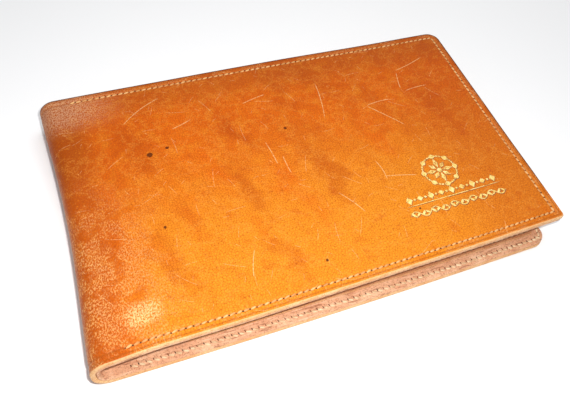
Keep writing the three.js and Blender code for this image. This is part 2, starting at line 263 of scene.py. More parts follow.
def worn(p, is_front):
    """The worn place of a point of the closed cover."""
    x, y, z = p
    across = y / WIDTH
    near_fold = 1 - ease(2, 34, x)
    bow = math.sin(math.pi * min(1, max(0, x / LENGTH)))
    y += BACK_BOW * bow * max(0, across) ** 2
    x += FOLD_WAIST * math.sin(math.pi * min(1, max(0, across))) ** 1.3 * near_fold
    if is_front:
        along = ease(4, LENGTH, x)
        reach = max(0, x - FOLD) / (LENGTH - FOLD)
        y += (FRONT_SETBACK * ease(3, 20, x) + SIDE_SETBACK * reach) * (1 - across)
        x -= FREE_SLANT * (1 - across) * reach ** 2
        lift = FREE_LIFT * (ease(118, LENGTH, x) * (1 - across) + ease(110, LENGTH, x) * across)
        z -= SAG * ease(FOLD, 48, x) * (1 - 0.75 * across) - lift
        z += FRONT_WAVE * noise.noise(Vector((x / 26, y / 22, 3.1))) * along
    else:
        reach = max(0, x - FOLD) / (LENGTH - FOLD)
        y += (BACK_SETBACK * reach - FRONT_BOW * bow) * (1 - across) ** 2
        x -= BACK_SLANT * (1 - across) * reach ** 2
        wave = BACK_WAVE * (1 + noise.noise(Vector((x / 30, y / 24, 8.4))))
        z += wave * ease(FOLD, 40, x) * ease(0, 3, z)
    return Vector((x, y, z))


def place(u, v, h, is_front, radius_at):
    """Rolls a flat pattern point round the fold. radius_at is the depth that keeps its length."""
    neutral = FOLD - radius_at
    quarter = neutral * math.pi / 2
    if u >= 0:
        p = (FOLD + u, v, HEIGHT - h)
    elif u > -quarter:
        angle = -u / neutral
        p = (FOLD - (FOLD - h) * math.sin(angle), v, HEIGHT - FOLD + (FOLD - h) * math.cos(angle))
    else:
        p = (h, v, HEIGHT - FOLD + u + quarter)
    if not is_front:
        p = (p[0], p[1], HEIGHT - p[2])
    return ORIGIN + worn(p, is_front) * MM


def fold_reach(radius_at):
    """How far a pattern runs into the fold, to the middle of its wall."""
    return (FOLD - radius_at) * math.pi / 2 + HEIGHT / 2 - FOLD


# %% [markdown]
# ## Cutting a flat piece
# The pattern is a grid with its lines close together by the edges, where the seam and the rounded corners
# are. Extruding it gives the leather its thickness, a bevel rounds the cut edges, and the corner squares
# are turned to arcs. Each point remembers its flat place as a UV and its distance to the cut edge, which
# the leather material uses for the pale worn rim.

# %% Flat leather pieces
UV_SPAN = 180
UV_SHIFT = 20
CUT_FACE = 1
SEAM_LINES = (0.9, 1.5, 2.1, 2.5, 2.8, 3.1, 3.5, 4.2, 5.2)  # grid lines this far from a sewn edge
LEAF_LINES = (0.5, 1.0, 1.5, 2.2, 2.9, 3.6, 4.5)
TOUCHING = 1e-6


def face_outwards(bm):
    """Turns the faces outwards. Their normals are worked out again first, since the points have moved."""
    bm.normal_update()
    bmesh.ops.recalc_face_normals(bm, faces=bm.faces)


def spread(low, high, step, close_low, close_high, close=SEAM_LINES):
    """Grid line places from low to high, closer together at the ends that ask for it."""
    head = [low] + ([low + c for c in close] if close_low else [])
    tail = ([high - c for c in reversed(close)] if close_high else []) + [high]
    start, end = head[-1], tail[0]
    count = max(1, round((end - start) / step))
    return head + [start + (end - start) * i / count for i in range(1, count)] + tail


def rounded(u, v, u_end, v_low, v_high, radius_front, radius_back):
    """Turns the two free corners of a rectangular pattern to arcs."""
    for corner_v, sign, r in ((v_low, 1, radius_front), (v_high, -1, radius_back)):
        a, b = u - (u_end - r), sign * ((corner_v + sign * r) - v)
        if a > 0 and b > 0:
            m = max(a, b)
            angle = (b / a if a >= b else 2 - a / b) * math.pi / 4
            u, v = u_end - r + m * math.cos(angle), corner_v + sign * (r - m * math.sin(angle))
    return u, v


def flat_piece(columns, rows, thickness, rim, radii, free_low_end=False):
    """A flat closed leather sheet in pattern millimetres, grain side at z 0, with rounded cut edges."""
    bm = bmesh.new()
    bmesh.ops.create_grid(bm, x_segments=len(columns) - 1, y_segments=len(rows) - 1, size=1)
    for vert in bm.verts:
        i = round((vert.co.x + 1) / 2 * (len(columns) - 1))
        j = round((vert.co.y + 1) / 2 * (len(rows) - 1))
        vert.co = (columns[i], rows[j], 0)
    grown = bmesh.ops.extrude_face_region(bm, geom=bm.faces[:])
    lower = [g for g in grown["geom"] if isinstance(g, bmesh.types.BMVert)]
    bmesh.ops.translate(bm, verts=lower, vec=(0, 0, -thickness))
    face_outwards(bm)
    low_end = columns[0]

    def in_fold(verts):
        return not free_low_end and all(abs(v.co.x - low_end) < TOUCHING for v in verts)

    def is_rim(edge):
        level = abs(edge.verts[0].co.z - edge.verts[1].co.z) < TOUCHING
        return level and edge.calc_face_angle(0) > 1 and not in_fold(edge.verts)

    rims = [e for e in bm.edges if is_rim(e)]
    bmesh.ops.bevel(bm, geom=rims, offset=rim, offset_type="OFFSET", segments=3, profile=0.5,
                    affect="EDGES", material=-1, clamp_overlap=True)
    edge_mm = bm.verts.layers.float.new("edge_mm")
    uv_layer = bm.loops.layers.uv.new("hide")
    for vert in bm.verts:
        u, v, _ = vert.co
        gaps = [columns[-1] - u, v - rows[0], rows[-1] - v] + ([u - low_end] if free_low_end else [])
        vert[edge_mm] = min(gaps)
    for face in bm.faces:
        cut = abs(face.normal.z) < 0.8
        at_fold = in_fold(face.verts)
        face.material_index = CUT_FACE if cut and not at_fold else 0
        face.smooth = not at_fold  # so that the join in the fold doesn't shade as an edge
        for loop in face.loops:
            loop[uv_layer].uv = ((loop.vert.co.x + UV_SHIFT) / UV_SPAN, loop.vert.co.y / UV_SPAN)
    for vert in bm.verts:
        u, v = rounded(vert.co.x, vert.co.y, columns[-1], rows[0], rows[-1], *radii)
        vert.co.x, vert.co.y = u, v
    return bm


def finish_piece(name, bm, materials):
    """Makes the object, with its place in its mesh."""
    mesh = bpy.data.meshes.new(name)
    bm.to_mesh(mesh)
    bm.free()
    for surface in materials:
        mesh.materials.append(surface)
    piece = bpy.data.objects.new(name, mesh)
    bpy.context.scene.collection.objects.link(piece)
    return piece


def roll_up(bm, depth, is_front, radius_at, relief=None):
    """Rolls a flat piece into the cover, depth being how far its grain side is under the outer face."""
    edge_mm = bm.verts.layers.float["edge_mm"]
    for vert in bm.verts:
        u, v, w = vert.co
        sink = relief(vert[edge_mm], w) if relief else 0
        vert.co = place(u, v, depth - w + sink, is_front, radius_at)
    face_outwards(bm)
    return bm


# %% [markdown]
# ## The saddle leather
# Vegetable-tanned leather darkens where hands, sun and pockets have touched it, and pales where it is
# rubbed. So its colour is laid in coats over a clear orange tan: a yellow tone that grows towards the front,
# partly its own and partly painted sheen, brown clouds, painted shade in broad diagonal creases, by the fold
# and at the far edges and rims, pale rubs by the fold, a pale painted reflection on the fold's wall, and then
# the scratches. The grain is bump. All of it follows the flat pattern's UV, as the grain of a real hide does
# round the fold. The free oils of this leather give only a low, broad shine.

# %% Patterns on the hide
SCRATCHES = (  # u, v, angle, half its length, how much it bows
    (26, 83, 33, 9, 5), (88, 71, 80, 9.5, -3), (108, 58, -51, 8.5, 1), (108, 65, 5, 5, 2),
    (120, 73, 76, 4.5, 1), (128, 80, 18, 7.5, -2), (125, 68, 4, 5, 2), (63, 53, -85, 5.5, 1),
    (66, 47, -88, 4, -1), (101, 32, -14, 6, 1), (65, 78, 14, 5, 1), (96, 36, -85, 4.5, 3),
    (38, 73, 20, 4, -1), (44, 16, 70, 5, 2), (81, 27, -60, 6, 2),
)
DIAGONAL_CREASE_SHADES = (  # u, v, half length and half width of a brown cloud of painted shade along a broad diagonal crease
    (99, 58, 10, 3.4), (73, 78, 13, 3.6), (78, 40, 10, 3.2), (56, 62, 8, 2.6), (50, 42, 10, 3),
    (29, 38, 8, 3), (22, 24, 14, 3.2), (55, 15, 9, 2.6), (3, 44, 24, 5), (88, 86, 16, 4),
    (128, 54, 12, 3), (20, 66, 10, 4),
)
DIAGONAL_ANGLE = -66
CREASE_SHADE_WANDER = 16  # how far noise pulls the clouds out of shape
SPECKS = ((71, 62, 0.6), (25, 63, 1), (31, 64.5, 0.6), (23, 35, 0.5), (65, 10, 0.5), (101, 18, 0.4))
FAR_OFF = 9.0  # the distance to a mark before any is looked at
SCRATCH_WIDTH = 0.2
PEBBLE_MM = 0.8
LINE_HALF = 0.5  # half the width of the seam's dark line
CREASE_INSET = 1.2  # a creased line between the seam and the edge


def hide_place(tree):
    """The place on the flat pattern in millimetres: u from the fold's roll, v from the front edge."""
    uv = add(tree, "UVMap", uv_map="hide")
    scaled = add(tree, "VectorMath", {0: uv, 3: UV_SPAN}, operation="SCALE")
    return add(tree, "VectorMath", (scaled, (UV_SHIFT, 0, 0)), operation="SUBTRACT")


def mark_reach(tree, local, bow):
    """How far a point is from a bowed line one unit long either way and one wide: under 1 is inside."""
    along = add(tree, "SeparateXYZ", (local,))
    across = add(tree, "SeparateXYZ", (local,), 1)
    square = add(tree, "Math", (along, along), operation="MULTIPLY")
    bowed = add(tree, "Math", (square, bow, across), operation="MULTIPLY_ADD")
    beside = add(tree, "Math", (bowed,), operation="ABSOLUTE")
    return add(tree, "Math", (beside, square), operation="MAXIMUM")


def placed_scratches(tree, point):
    """The distance to the nearest of the few long scratches."""
    nearest = FAR_OFF
    for u, v, angle, half, bow in SCRATCHES:
        local = add(tree, "Mapping", {0: point, 1: (u, v, 0), 2: (0, 0, math.radians(angle)),
                                      3: (half, SCRATCH_WIDTH, 1)}, vector_type="TEXTURE")
        nearest = add(tree, "Math", (nearest, mark_reach(tree, local, bow)), operation="MINIMUM")
    return nearest


def strewn_scratches(tree, point, cell, half_length, width, share):
    """The distance to a short mark at a random angle, one in a share of the cells of a coarse net."""
    net = {"Vector": point, "Scale": 1 / cell}
    centre = add(tree, "TexVoronoi", net, "Position", voronoi_dimensions="2D")
    lot = add(tree, "TexVoronoi", net, "Color", voronoi_dimensions="2D")
    dice, other_die = add(tree, "SeparateColor", (lot,)), add(tree, "SeparateColor", (lot,), 1)
    offset = add(tree, "VectorMath", (point, centre), operation="SUBTRACT")
    angle = add(tree, "Math", (dice, math.tau), operation="MULTIPLY")
    turned = add(tree, "VectorRotate", {"Vector": offset, "Angle": angle}, rotation_type="Z_AXIS")
    local = add(tree, "VectorMath", (turned, (half_length, width, 1)), operation="DIVIDE")
    absent = add(tree, "Math", (other_die, share), operation="GREATER_THAN")
    return add(tree, "Math", (mark_reach(tree, local, 1.5), absent), operation="ADD")


def nearest_speck(tree, point):
    """The distance to the nearest of a few dark spots, where 1 is its rim."""
    nearest = FAR_OFF
    for u, v, radius in SPECKS:
        local = add(tree, "Mapping", {0: point, 1: (u, v, 0), 3: (radius, radius, 1)}, vector_type="TEXTURE")
        reach = add(tree, "VectorMath", (local,), "Value", operation="LENGTH")
        nearest = add(tree, "Math", (nearest, reach), operation="MINIMUM")
    return nearest


def nearest_crease_shade(tree, point):
    """The distance to the middle of the nearest painted crease shade, a brown cloud, where 1 is its rim.
    Noise pulls it about.
    """
    pull = add(tree, "TexNoise", {"Vector": point, "Scale": 0.085, "Detail": 4}, "Color")
    pull = add(tree, "VectorMath", (pull, (0.5, 0.5, 0.5)), operation="SUBTRACT")
    point = add(tree, "VectorMath", (pull, (CREASE_SHADE_WANDER, CREASE_SHADE_WANDER, 0), point), operation="MULTIPLY_ADD")
    nearest = FAR_OFF
    for u, v, half_length, half_width in DIAGONAL_CREASE_SHADES:
        local = add(tree, "Mapping", {0: point, 1: (u, v, 0), 2: (0, 0, math.radians(DIAGONAL_ANGLE)),
                                      3: (half_length, half_width, 1)}, vector_type="TEXTURE")
        reach = add(tree, "VectorMath", (local,), "Value", operation="LENGTH")
        nearest = add(tree, "Math", (nearest, reach), operation="MINIMUM")
    return nearest


# %% Saddle leather
def saddle_leather():
    """Saddle tan: orange leather, yellowed towards the front partly by its own tone and partly as painted
    sheen, clouded, with painted shade in broad creases, by the fold and on the far rims, crazed pale by the
    fold, and scratched.
    """
    surface, tree = new_material("saddle_tan_leather")
    point = hide_place(tree)
    edge = add(tree, "Attribute", out="Fac", attribute_name="edge_mm")
    u, v = add(tree, "SeparateXYZ", (point,)), add(tree, "SeparateXYZ", (point,), 1)
    streaked = add(tree, "Mapping", {0: point, 2: (0, 0, math.radians(DIAGONAL_ANGLE)), 3: (2.6, 1, 1)},
                   vector_type="TEXTURE")
    clouds = add(tree, "TexNoise", {"Vector": streaked, "Scale": 0.075, "Detail": 4, "Roughness": 0.55})
    mottle = add(tree, "TexNoise", {"Vector": point, "Scale": 0.2, "Detail": 5, "Roughness": 0.6})
    speckle = add(tree, "TexNoise", {"Vector": point, "Scale": 1.5, "Detail": 3, "Roughness": 0.7})
    # The finish crazes into fine wrinkles along the fold.
    wrinkled = add(tree, "Mapping", {0: point, 3: (0.6, 1, 1)}, vector_type="TEXTURE")
    crazing = add(tree, "TexNoise", {"Vector": wrinkled, "Scale": 1.45, "Detail": 6, "Roughness": 0.75})
    scuffs = add(tree, "TexNoise", {"Vector": point, "Scale": 0.11, "Detail": 5, "Roughness": 0.65})
    # Pebbled grain: small raised cells, with the creases between them painted darker.
    cells = add(tree, "TexVoronoi", {"Vector": point, "Scale": 1 / PEBBLE_MM}, "Distance",
                feature="DISTANCE_TO_EDGE", voronoi_dimensions="2D")

    def where(*bands):
        """A mask: the product of smooth steps, each a value and where it is bare and covered."""
        mask = 1.0
        for value, bare, covered in bands:
            step = add(tree, "MapRange", (value, bare, covered), interpolation_type="SMOOTHSTEP")
            mask = add(tree, "Math", (mask, step), operation="MULTIPLY")
        return mask

    def line_at(inset):
        """A soft line along the cut edge, this far in from it."""
        return where((edge, inset - LINE_HALF, inset), (edge, inset + LINE_HALF, inset))

    # A yellow tone that grows towards the front edge: partly the leather's own, partly painted sheen of the
    # key lamp.
    bloom_and_sheen = where((v, 86, 6), (u, -5, 26), (clouds, 0.2, 0.5))
    blurred = add(tree, "Math", (mottle, 1.4, nearest_crease_shade(tree, point)), operation="MULTIPLY_ADD")
    # Painted shade of broad diagonal creases: soft brown clouds along the diagonal.
    crease_shade = where((blurred, 2.8, 0.6), (clouds, 0.2, 0.55))
    ragged = add(tree, "Math", (speckle, 1.4, nearest_speck(tree, point)), operation="MULTIPLY_ADD")
    speck = where((ragged, 1.8, 1.5))
    wisps = where((scuffs, 0.455, 0.5), (scuffs, 0.545, 0.5), (crazing, 0.38, 0.6))
    fold_shade = where((u, 13, -2))
    back_fold_shade = where((u, 18, -2), (v, 42, 76))
    # A pale painted reflection of the white floor on the fold's wall, crazed like a rubbed finish.
    wall_reflection_and_rub = where((u, -3, -7), (v, 94, 60), (crazing, 0.25, 0.6))
    free_shade = where((u, 98, 138), (clouds, 0.1, 0.5))
    back_shade = where((v, 72, 93))
    fold_craze = where((u, 34, 4), (v, 74, 20), (scuffs, 0.34, 0.56), (crazing, 0.46, 0.58))
    corner_craze = where((u, 30, 0), (v, 74, 88), (crazing, 0.4, 0.56))
    rim_craze = where((edge, 5, 0.8), (crazing, 0.46, 0.6), (scuffs, 0.4, 0.56))
    front_patch = where((u, 19, 12), (u, 4, 9), (v, 16, 11), (v, 5, 9), (crazing, 0.42, 0.56))
    seam_line, crease_line = line_at(SEAM_INSET), line_at(CREASE_INSET)
    rim_front = where((edge, 0.6, 0.3), (v, 6, 2))
    # Dark painted shade along the rims that curve away from the key lamp, all but the front one.
    rim_painted_shade = where((edge, 1.1, 0.35), (v, 4, 20))

    scratch = where((placed_scratches(tree, point), 1.0, 0.4), (crazing, 0.34, 0.56))
    strewn = FAR_OFF
    for cell, half_length, width, share in ((15, 4, 0.16, 0.4), (9, 2.4, 0.13, 0.36), (5.5, 1.2, 0.12, 0.3)):
        mark = strewn_scratches(tree, point, cell, half_length, width, share)
        strewn = add(tree, "Math", (strewn, mark), operation="MINIMUM")
    fine_scratch = where((strewn, 1.0, 0.3), (crazing, 0.36, 0.6))

    colour = paint(tree, linear("#D86206"), (
        (clouds, 0.38, 0.66, 0.55, "#BC4C06"),
        (bloom_and_sheen, 0, 1, 0.9, "#E58C1C"),
        (mottle, 0.45, 0.72, 0.4, "#E68C22"),
        (mottle, 0.46, 0.25, 0.5, "#BC4E06"),
        # the painted shade of the diagonal creases
        (crease_shade, 0, 1, 0.5, "#B24600"),
        (free_shade, 0, 1, 0.45, "#BC4C0E"),
        (fold_shade, 0, 1, 0.7, "#AE4C0C"),
        (back_fold_shade, 0, 1, 0.5, "#8E3C06"),
        (back_shade, 0, 1, 0.45, "#A04C16"),
        (speckle, 0.5, 0.68, 0.55, "#9A4206"),
        (speckle, 0.46, 0.3, 0.3, "#F09A28"),
        (cells, 0.15, 0, 0.45, "#A04604"),
        (wisps, 0, 1, 0.28, "#F0A040"),
        (fold_craze, 0, 1, 0.55, "#F0B874"),
        (wall_reflection_and_rub, 0, 1, 0.6, "#CDA98C"),
        (corner_craze, 0, 1, 0.6, "#D9A782"),
        (rim_craze, 0, 1, 0.5, "#E8AE72"),
        (front_patch, 0, 1, 0.7, "#F6D492"),
        (seam_line, 0, 1, 0.5, "#9A4A10"),
        (crease_line, 0, 1, 0.55, "#A04C0C"),
        (rim_front, 0, 1, 0.8, "#EDBE86"),
        (rim_painted_shade, 0, 1, 0.85, "#4E2009"),
        (speck, 0, 1, 0.85, "#4A1804"),
        (scratch, 0, 1, 0.65, "#F6C98C"),
        (fine_scratch, 0, 1, 0.5, "#F4C084"),
    ))

    pebbles = where((cells, 0, 0.14))
    height = add(tree, "Math", (speckle, 0.7, pebbles), operation="MULTIPLY_ADD")
    height = add(tree, "Math", (crazing, 0.9, height), operation="MULTIPLY_ADD")
    height = add(tree, "Math", (scratch, -0.7, height), operation="MULTIPLY_ADD")
    bump = add(tree, "Bump", {"Strength": 1, "Distance": 0.045 * MM, "Height": height})
    roughness = add(tree, "MapRange", (mottle, 0.3, 0.7, 0.42, 0.54))
    shade_with(tree, Base_Color=colour, Roughness=roughness, Normal=bump, Specular_IOR_Level=0.1)
    return surface


saddle = saddle_leather()
print("saddle leather nodes", len(saddle.node_tree.nodes))


# %% [markdown]
# ## The other leathers
# A cut edge is bare fibre, burnished cream, and painted dark as shade on the sides away from the front,
# which face away from the key lamp. The lining is a pinkish split, open and fibrous, and the pocket leaves
# are thin calf. They share one build, since all are undyed leather: a mottled colour, fibres and pores.

# %% Cut edge, lining and pocket leathers
def bare_leather(name, base, dark, light, pore_mm, depth, roughness, more=None):
    """Leather without a finish. more is a function that gives extra coats of colour."""
    surface, tree = new_material(name)
    point = millimetres(tree)
    mottle = add(tree, "TexNoise", {"Vector": point, "Scale": 0.22, "Detail": 5, "Roughness": 0.65})
    fibre = add(tree, "TexNoise", {"Vector": point, "Scale": 1 / pore_mm, "Detail": 5, "Roughness": 0.75})
    pores = add(tree, "TexVoronoi", {"Vector": point, "Scale": 0.7 / pore_mm}, "Distance")
    coats = [(mottle, 0.35, 0.66, 0.8, light), (fibre, 0.48, 0.66, 0.8, dark), (pores, 0.3, 0.1, 0.5, dark)]
    colour = paint(tree, linear(base), coats + (more(tree, point) if more else []))
    height = add(tree, "Math", (pores, 0.8, fibre), operation="MULTIPLY_ADD")
    bump = add(tree, "Bump", {"Strength": 1, "Distance": depth * MM, "Height": height})
    shade_with(tree, Base_Color=colour, Roughness=roughness, Normal=bump, Specular_IOR_Level=0.3)
    return surface


def away_edge_shade(tree, point):
    """Away from the front edge the cut edge is painted dark, as shade on the sides that face away from the
    key lamp.
    """
    across = add(tree, "SeparateXYZ", (point,), 1)
    return [(across, WIDTH * -0.46, WIDTH * -0.38, 0.85, "#6E3616")]


def long_fibres(tree, point):
    """A split shows torn fibres as thin dark broken lines, here along the cover."""
    drawn_out = add(tree, "Mapping", {0: point, 3: (5, 0.55, 0.8)}, vector_type="TEXTURE")
    fibres = add(tree, "TexNoise", {"Vector": drawn_out, "Scale": 1, "Detail": 4, "Roughness": 0.6})
    return [(fibres, 0.57, 0.64, 0.65, "#93573A"), (fibres, 0.44, 0.36, 0.5, "#F2CBA8")]


cut_edge = bare_leather("burnished_cut_edge", "#E0A86E", "#B87440", "#F0C794", 0.5, 0.05, 0.6, away_edge_shade)
lining_hide = bare_leather("pink_split_lining", "#DCA27C", "#9E5E3C", "#ECBE98", 0.45, 0.08, 0.8, long_fibres)
pocket_hide = bare_leather("thin_pocket_calf", "#BE8056", "#8C5030", "#CC946A", 0.5, 0.05, 0.7)

# %% [markdown]
# ## The outer leather
# One hide wraps the whole notebook. It is made in two pieces that meet at the middle of the fold's wall,
# because each may bend across one hinge only. Both have the same section there, so the join can't be
# seen. The seam has pulled a shallow channel into the grain side.

# %% Outer leather
GROOVE_DEPTH = 0.22
CREASE_DEPTH = 0.14
FINE_REACH = 6  # the grid is finer this far beyond the roll


def panel_outline(is_front):
    """How far a panel reaches from the roll, how far in its seam is, and its corners' radii."""
    if is_front:
        return LENGTH - FOLD, SEAM_INSET, (SHARP_CORNER, ROUND_CORNER)
    return BACK_LENGTH - FOLD, BACK_SEAM_INSET, (ROUND_CORNER, ROUND_CORNER)


def rolled_columns(reach, end, fine, coarse):
    return spread(-reach, FINE_REACH, fine, False, False)[:-1] + spread(FINE_REACH, end, coarse, False, True)


def seam_channel(edge, w, inset):
    """How far the grain side dips, from its distance to the cut edge: the seam's channel and the crease."""
    channel = GROOVE_DEPTH * math.exp(-((edge - inset) / 0.5) ** 2)
    crease = CREASE_DEPTH * math.exp(-((edge - CREASE_INSET) / 0.3) ** 2)
    return (channel + crease) * (w > -LEATHER / 2)


def outer_leather(name, is_front):
    length, inset, radii = panel_outline(is_front)
    columns = rolled_columns(fold_reach(LEATHER / 2), length, 0.55, 1.4)
    rows = spread(0, WIDTH, 1.4, True, True)
    bm = flat_piece(columns, rows, LEATHER, 0.5, radii)
    roll_up(bm, 0, is_front, LEATHER / 2, lambda edge, w: seam_channel(edge, w, inset))
    return finish_piece(name, bm, [saddle, cut_edge])


front_hide = outer_leather("front_outer_leather", True)
back_hide = outer_leather("back_outer_leather", False)
print("outer leather faces", len(front_hide.data.polygons), len(back_hide.data.polygons))

# %% [markdown]
# ## Linings and pocket leaves
# The lining is a thinner, pinkish split leather glued inside the hide, and it rolls round the fold with it.
# The pocket leaf in the front cover and the sleeve leaf in the back cover are sheets of thin calf, sewn
# down along three sides. The sleeve's leaf rises over the pad's card.

# %% Linings
SETBACK = 0.15  # the lining ends just inside the hide's cut edge


def lining(name, is_front):
    length, _, radii = panel_outline(is_front)
    depth = LEATHER + GLUE
    middle = depth + LINING / 2
    columns = rolled_columns(fold_reach(middle), length - SETBACK, 0.6, 2)
    rows = spread(SETBACK, WIDTH - SETBACK, 2, True, True)
    bm = flat_piece(columns, rows, LINING, 0.3, radii)
    roll_up(bm, depth, is_front, middle)
    return finish_piece(name, bm, [lining_hide, lining_hide])


front_lining = lining("front_lining_leather", True)
back_lining = lining("back_lining_leather", False)


def pattern_limits(node):
    """A node's low and high u and v on the flat pattern."""
    low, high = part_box(node)
    u_limits = [(x - ORIGIN.x) / MM - FOLD for x in (low.x, high.x)]
    return u_limits + [(y - ORIGIN.y) / MM for y in (low.y, high.y)]


def leaf(name, node, is_front, rise):
    """A pocket leaf over its CAD node's outline. rise lifts its middle off the lining."""
    u0, u1, v0, v1 = pattern_limits(node)
    depth = LEATHER + 2 * GLUE + LINING
    columns = spread(u0, u1, 2.5, True, True, LEAF_LINES)
    rows = spread(v0, v1, 2.5, True, True, LEAF_LINES)
    bm = flat_piece(columns, rows, LEAF_THICKNESS, 0.2, (LEAF_CORNER, LEAF_CORNER), free_low_end=True)

    def lift(edge, w):
        """The grain side faces into the cover, so the sheet is turned over. Its seam is sunk."""
        seam = 0.12 * math.exp(-((edge - LEAF_SEAM_INSET) / 0.4) ** 2) * (w > -LEAF_THICKNESS / 2)
        return rise * ease(1.9, 2.9, edge) - seam + 2 * w

    roll_up(bm, depth + LEAF_THICKNESS, is_front, 0, lift)
    return finish_piece(name, bm, [pocket_hide, cut_edge])


sleeve_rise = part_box("pad_sleeve_leaf")[1].z / MM - LEATHER - 2 * GLUE - LINING - LEAF_THICKNESS
front_pocket = leaf("front_pocket", "front_pocket_leaf", True, 0.0)
pad_sleeve = leaf("pad_sleeve", "pad_sleeve_leaf", False, sleeve_rise)
print(f"the sleeve's middle stands {sleeve_rise:.2f} mm off the lining")

# %% [markdown]
# ## Stitches
# A saddle stitch is two needles passing through the same slanted holes, so both faces show a row of short
# leaning stitches. Each is a small spindle of waxed linen lying in the channel, with a dark spot of painted
# shadow for the needle hole at each end. All the stitches of one row are one piece.

# %% Seam paths and thread
PITCH = 2.0
SPINDLE = (0.9, 0.36, 0.3)  # half the length, width and height of one stitch
HOLE_SLANT = 40


def seam_path(u_start, u_end, v_low, v_high, inset, radii):
    """Stitch middles and directions along the front, free and back sides of a panel."""
    front_v, back_v, free_u = v_low + inset, v_high - inset, u_end - inset
    rows = [((u_start, front_v), (free_u, front_v)), ((free_u, front_v), (free_u, back_v)),
            ((free_u, back_v), (u_start, back_v))]
    places = []
    for (ua, va), (ub, vb) in rows:
        length = math.hypot(ub - ua, vb - va)
        count = round(length / PITCH)
        angle = math.atan2(vb - va, ub - ua)
        for i in range(count):
            t = (i + 0.5) / count
            u, v = ua + (ub - ua) * t, va + (vb - va) * t
            u, v = rounded(u, v, u_end, v_low, v_high, *radii)
            places.append((u, v, angle))
    return places


def thread_material(name, base, dark):
    """Waxed linen, matt and dirty, with its ply as a fine twist."""
    surface, tree = new_material(name)
    point = millimetres(tree)
    grime = add(tree, "TexNoise", {"Vector": point, "Scale": 0.35, "Detail": 4})
    twist = add(tree, "TexWave", {"Vector": point, "Scale": 1.1, "Distortion": 1}, bands_direction="DIAGONAL")
    colour = paint(tree, linear(base), ((grime, 0.36, 0.66, 0.8, dark), (twist, 0.6, 0, 0.4, dark)))
    bump = add(tree, "Bump", {"Strength": 0.6, "Distance": 0.05 * MM, "Height": twist})
    shade_with(tree, Base_Color=colour, Roughness=0.6, Normal=bump)
    return surface


def needle_hole_material():
    """The inside of an awl hole: raw leather in deep shade."""
    surface, tree = new_material("needle_hole_shadow")
    hole_mottle = add(tree, "TexNoise", {"Vector": millimetres(tree), "Scale": 0.9, "Detail": 2})
    colour = paint(tree, linear("#8A4A22"), ((hole_mottle, 0.4, 0.6, 1, "#4A240E"),))
    shade_with(tree, Base_Color=colour, Roughness=0.9)
    return surface


worn_linen = thread_material("tanned_linen_thread", "#F0BE7C", "#C07A34")
inner_linen = thread_material("cream_linen_thread", "#F6DDB4", "#C79A6A")
needle_hole = needle_hole_material()
print("thread", worn_linen.name, inner_linen.name)


# %% Stitch rows
def scatter(shape, places):
    """One bmesh with a copy of a shape's mesh at each place."""
    bm = bmesh.new()
    for place_matrix in places:
        shape.transform(place_matrix)
        bm.from_mesh(shape)
        shape.transform(place_matrix.inverted())
    return bm


def stitch_shape(hole_width):
    """A spindle of thread, and a dark spot of painted shadow for the slanted needle hole that it comes out
    of.
    """
    bm = bmesh.new()
    upright = Matrix.Rotation(math.pi / 2, 4, "Y")
    bmesh.ops.create_uvsphere(bm, u_segments=8, v_segments=6, radius=1,
                              matrix=Matrix.Diagonal((*SPINDLE, 1)) @ upright)
    thread_faces = len(bm.faces)
    hole = Matrix.Translation((-PITCH / 2, 0, -0.04)) @ Matrix.Rotation(math.radians(HOLE_SLANT), 4, "Z")
    bmesh.ops.create_uvsphere(bm, u_segments=8, v_segments=4, radius=1,
                              matrix=hole @ Matrix.Diagonal((hole_width, 0.42, 0.16, 1)))
    bm.faces.ensure_lookup_table()
    for index, face in enumerate(bm.faces):
        face.smooth = True
        face.material_index = int(index >= thread_faces)
    shape = bpy.data.meshes.new("stitch")
    bm.to_mesh(shape)
    bm.free()
    return shape


def stitch_row(name, places, depth, is_front, slant, linen, hole_width=0.24):
    """A row of stitches at a depth under the outer face, each leaning by the slant."""
    dice = random.Random(name)
    matrices = []
    for u, v, angle in places:
        turn = angle + math.radians(slant + dice.uniform(-4, 4))
        size = Matrix.Diagonal((dice.uniform(0.92, 1.04), dice.uniform(0.9, 1.1), 1, 1))
        matrices.append(Matrix.Translation((u, v, -depth)) @ Matrix.Rotation(turn, 4, "Z") @ size)
    bm = scatter(stitch_shape(hole_width), matrices)
    for vert in bm.verts:
        vert.co = place(vert.co.x, vert.co.y, -vert.co.z, is_front, 0)
    face_outwards(bm)
    print(name, len(matrices), "stitches")
    return finish_piece(name, bm, [linen, needle_hole])


def panel_seam(is_front):
    length, inset, radii = panel_outline(is_front)
    return seam_path(SEAM_START, length, 0, WIDTH, inset, radii)


def leaf_seam(node):
    u0, u1, v0, v1 = pattern_limits(node)
    return seam_path(u0 + LEAF_SEAM_INSET, u1, v0, v1, LEAF_SEAM_INSET, (LEAF_CORNER, LEAF_CORNER))


inner_face = LEATHER + GLUE + LINING
leaf_face = inner_face + GLUE + LEAF_THICKNESS
outside = {"slant": 14, "linen": worn_linen, "hole_width": 0.36}
inside = {"slant": -24, "linen": inner_linen, "hole_width": 0.16}
on_leaf = {"slant": -16, "linen": inner_linen}
front_seam, back_seam = panel_seam(True), panel_seam(False)
front_stitches = stitch_row("front_needle_stitches", front_seam, GROOVE_DEPTH, True, **outside)
front_bobbin = stitch_row("front_inside_stitches", front_seam, inner_face, True, **inside)
back_stitches = stitch_row("back_needle_stitches", back_seam, THREAD_HALF, False, **outside)
back_bobbin = stitch_row("back_inside_stitches", back_seam, inner_face, False, **inside)
pocket_stitches = stitch_row("pocket_stitches", leaf_seam("front_pocket_leaf"), leaf_face, True, **on_leaf)
sleeve_stitches = stitch_row("sleeve_stitches", leaf_seam("pad_sleeve_leaf"), leaf_face, False, **on_leaf)
